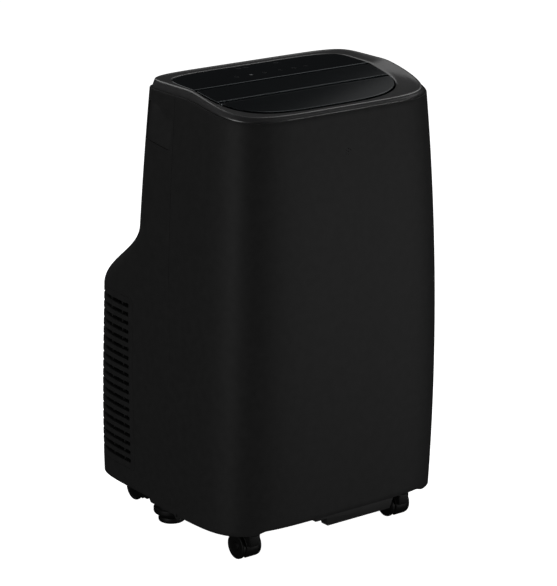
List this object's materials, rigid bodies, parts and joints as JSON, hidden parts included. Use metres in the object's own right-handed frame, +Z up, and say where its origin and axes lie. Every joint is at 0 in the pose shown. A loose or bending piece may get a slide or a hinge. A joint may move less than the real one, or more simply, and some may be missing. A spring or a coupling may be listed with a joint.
{
  "type": "portable air conditioner",
  "caption": "Free-standing portable air conditioner with stepped rear, top louvres, touch panel, corner grille and twin-wheel casters.",
  "frame": {"origin": "on the floor, under the middle of the overall box", "axes": "+Z up, -Y the front, +X to the right of someone who stands before the front and looks at it"},
  "size_m": [0.412, 0.3949, 0.7],
  "materials": {
    "cover_front": "fine moulded texture, satin",
    "cover_rear": "fine moulded texture, satin",
    "rim": "satin gloss",
    "panel": "high gloss",
    "louvre": "satin gloss",
    "duct": "matt",
    "caster": "satin",
    "rubber": "matt",
    "steel": "black enamel",
    "motor": "plated",
    "fins": "mill",
    "copper": "bare copper tube",
    "abs_white": "natural ABS",
    "fan": "matt",
    "board": "solder mask",
    "mesh": "woven nylon",
    "screw": "zinc plated"
  },
  "bodies": {
    "case": {"front_cover": "cover_front", "rear_cover": "cover_rear", "top_ring": "rim", "control_panel": "panel", "display_board": "board", "swing_motor": "motor", "outlet_duct": "duct", "handle_left": "cover_rear", "handle_right": "cover_rear", "corner_grille": "cover_rear", "filter_frame": "cover_rear", "exhaust_socket": "cover_rear", "exhaust_duct": "abs_white", "base_tray": "caster", "drain_spigot": "cover_rear", "cord_hooks": "cover_rear", "cord_gland": "rubber", "compressor": "steel", "accumulator": "steel", "compressor_feet": "rubber", "condenser_coil": "fins", "evaporator_coil": "fins", "lower_scroll": "abs_white", "lower_motor": "motor", "upper_scroll": "abs_white", "upper_motor": "motor", "slinger_motor": "motor", "mid_deck": "abs_white", "discharge_pipe": "copper", "suction_pipe": "copper", "control_box": "abs_white", "main_board": "board", "case_screws": "screw", "room_sensor": "board"},
    "louvre_rear": {"louvre_rear": "louvre"},
    "louvre_front": {"louvre_front": "louvre"},
    "louvre_link": {"louvre_link": "abs_white"},
    "swing_arm": {"swing_arm": "abs_white"},
    "vane_tie_bar": {"vane_tie_bar": "abs_white"},
    "filter_door": {"filter_cover": "cover_rear", "filter_mesh": "mesh"},
    "lower_blower": {"lower_blower": "fan"},
    "upper_blower": {"upper_blower": "fan"},
    "slinger": {"slinger_wheel": "fan"},
    "drain_plug": {"drain_plug": "rubber"},
    "sump_cap": {"sump_cap": "caster"},
    "vane_1": {"vane_1": "duct"},
    "vane_2": {"vane_2": "duct"},
    "vane_3": {"vane_3": "duct"},
    "vane_4": {"vane_4": "duct"},
    "vane_5": {"vane_5": "duct"},
    "vane_6": {"vane_6": "duct"},
    "fork_front_left": {"caster_fork_front_left": "caster"},
    "wheels_front_left": {"caster_wheels_front_left": "caster"},
    "fork_front_right": {"caster_fork_front_right": "caster"},
    "wheels_front_right": {"caster_wheels_front_right": "caster"},
    "fork_rear_left": {"caster_fork_rear_left": "caster"},
    "wheels_rear_left": {"caster_wheels_rear_left": "caster"},
    "fork_rear_right": {"caster_fork_rear_right": "caster"},
    "wheels_rear_right": {"caster_wheels_rear_right": "caster"}
  },
  "joints": [
    {"name": "louvre_front_tilt", "type": "hinge", "parent": "case", "child": "louvre_front", "pos_m": [0, -0.0915, 0.67884], "axis": [-1, 0, 0], "range_deg": [0, 70]},
    {"name": "louvre_rear_tilt", "type": "hinge", "parent": "case", "child": "louvre_rear", "pos_m": [0, -0.0393, 0.68758], "axis": [-1, 0, 0], "range_deg": [0, 70]},
    {"name": "swing_arm_turn", "type": "hinge", "parent": "case", "child": "swing_arm", "pos_m": [0.1525, -0.062, 0.652], "axis": [-1, 0, 0], "range_deg": [0, 70]},
    {"name": "louvre_link_turn", "type": "hinge", "parent": "louvre_front", "child": "louvre_link", "pos_m": [0.149, -0.08028, 0.66743], "axis": [-1, 0, 0], "range_deg": [-70, 0]},
    {"name": "vane_1_turn", "type": "hinge", "parent": "case", "child": "vane_1", "pos_m": [-0.11, -0.077, 0.64], "axis": [0, 1, 0], "range_deg": [-25, 25]},
    {"name": "vane_2_turn", "type": "hinge", "parent": "case", "child": "vane_2", "pos_m": [-0.066, -0.077, 0.64], "axis": [0, 1, 0], "range_deg": [-25, 25]},
    {"name": "vane_3_turn", "type": "hinge", "parent": "case", "child": "vane_3", "pos_m": [-0.022, -0.077, 0.64], "axis": [0, 1, 0], "range_deg": [-25, 25]},
    {"name": "vane_4_turn", "type": "hinge", "parent": "case", "child": "vane_4", "pos_m": [0.022, -0.077, 0.64], "axis": [0, 1, 0], "range_deg": [-25, 25]},
    {"name": "vane_5_turn", "type": "hinge", "parent": "case", "child": "vane_5", "pos_m": [0.066, -0.077, 0.64], "axis": [0, 1, 0], "range_deg": [-25, 25]},
    {"name": "vane_6_turn", "type": "hinge", "parent": "case", "child": "vane_6", "pos_m": [0.11, -0.077, 0.64], "axis": [0, 1, 0], "range_deg": [-25, 25]},
    {"name": "vane_tie_turn", "type": "hinge", "parent": "vane_1", "child": "vane_tie_bar", "pos_m": [-0.11, -0.054, 0.624], "axis": [0, 1, 0], "range_deg": [-25, 25]},
    {"name": "filter_cover_tilt", "type": "hinge", "parent": "case", "child": "filter_door", "pos_m": [0, 0.07858, 0.49763], "axis": [-1, 0, 0], "range_deg": [0, 60]},
    {"name": "lower_blower_spin", "type": "hinge", "parent": "case", "child": "lower_blower", "pos_m": [0.06, 0.01, 0.2], "axis": [1, 0, 0], "continuous": true},
    {"name": "upper_blower_spin", "type": "hinge", "parent": "case", "child": "upper_blower", "pos_m": [-0.04, -0.075, 0.505], "axis": [0, 1, 0], "continuous": true},
    {"name": "slinger_spin", "type": "hinge", "parent": "case", "child": "slinger", "pos_m": [-0.1, 0.125, 0.116], "axis": [0, 1, 0], "continuous": true},
    {"name": "caster_swivel_front_left", "type": "hinge", "parent": "case", "child": "fork_front_left", "pos_m": [-0.142, -0.145, 0.06], "axis": [0, 0, 1], "continuous": true},
    {"name": "caster_roll_front_left", "type": "hinge", "parent": "fork_front_left", "child": "wheels_front_left", "pos_m": [-0.142, -0.128, 0.02], "axis": [1, 0, 0], "continuous": true},
    {"name": "caster_swivel_front_right", "type": "hinge", "parent": "case", "child": "fork_front_right", "pos_m": [0.142, -0.145, 0.06], "axis": [0, 0, 1], "continuous": true},
    {"name": "caster_roll_front_right", "type": "hinge", "parent": "fork_front_right", "child": "wheels_front_right", "pos_m": [0.142, -0.128, 0.02], "axis": [1, 0, 0], "continuous": true},
    {"name": "caster_swivel_rear_left", "type": "hinge", "parent": "case", "child": "fork_rear_left", "pos_m": [-0.13, 0.145, 0.06], "axis": [0, 0, 1], "continuous": true},
    {"name": "caster_roll_rear_left", "type": "hinge", "parent": "fork_rear_left", "child": "wheels_rear_left", "pos_m": [-0.13, 0.162, 0.02], "axis": [1, 0, 0], "continuous": true},
    {"name": "caster_swivel_rear_right", "type": "hinge", "parent": "case", "child": "fork_rear_right", "pos_m": [0.13, 0.145, 0.06], "axis": [0, 0, 1], "continuous": true},
    {"name": "caster_roll_rear_right", "type": "hinge", "parent": "fork_rear_right", "child": "wheels_rear_right", "pos_m": [0.13, 0.162, 0.02], "axis": [1, 0, 0], "continuous": true},
    {"name": "drain_plug_pull", "type": "slide", "parent": "case", "child": "drain_plug", "axis": [0, 1, 0], "range_m": [0, 0.04]},
    {"name": "sump_cap_pull", "type": "slide", "parent": "case", "child": "sump_cap", "axis": [0, 0, -1], "range_m": [0, 0.018]}
  ],
  "couplings": [
    {"joint": "louvre_rear_tilt", "follows": "louvre_front_tilt", "ratio": 1},
    {"joint": "swing_arm_turn", "follows": "louvre_front_tilt", "ratio": 1},
    {"joint": "louvre_link_turn", "follows": "louvre_front_tilt", "ratio": -1},
    {"joint": "vane_2_turn", "follows": "vane_1_turn", "ratio": 1},
    {"joint": "vane_3_turn", "follows": "vane_1_turn", "ratio": 1},
    {"joint": "vane_4_turn", "follows": "vane_1_turn", "ratio": 1},
    {"joint": "vane_5_turn", "follows": "vane_1_turn", "ratio": 1},
    {"joint": "vane_6_turn", "follows": "vane_1_turn", "ratio": 1},
    {"joint": "vane_tie_turn", "follows": "vane_1_turn", "ratio": -1}
  ]
}
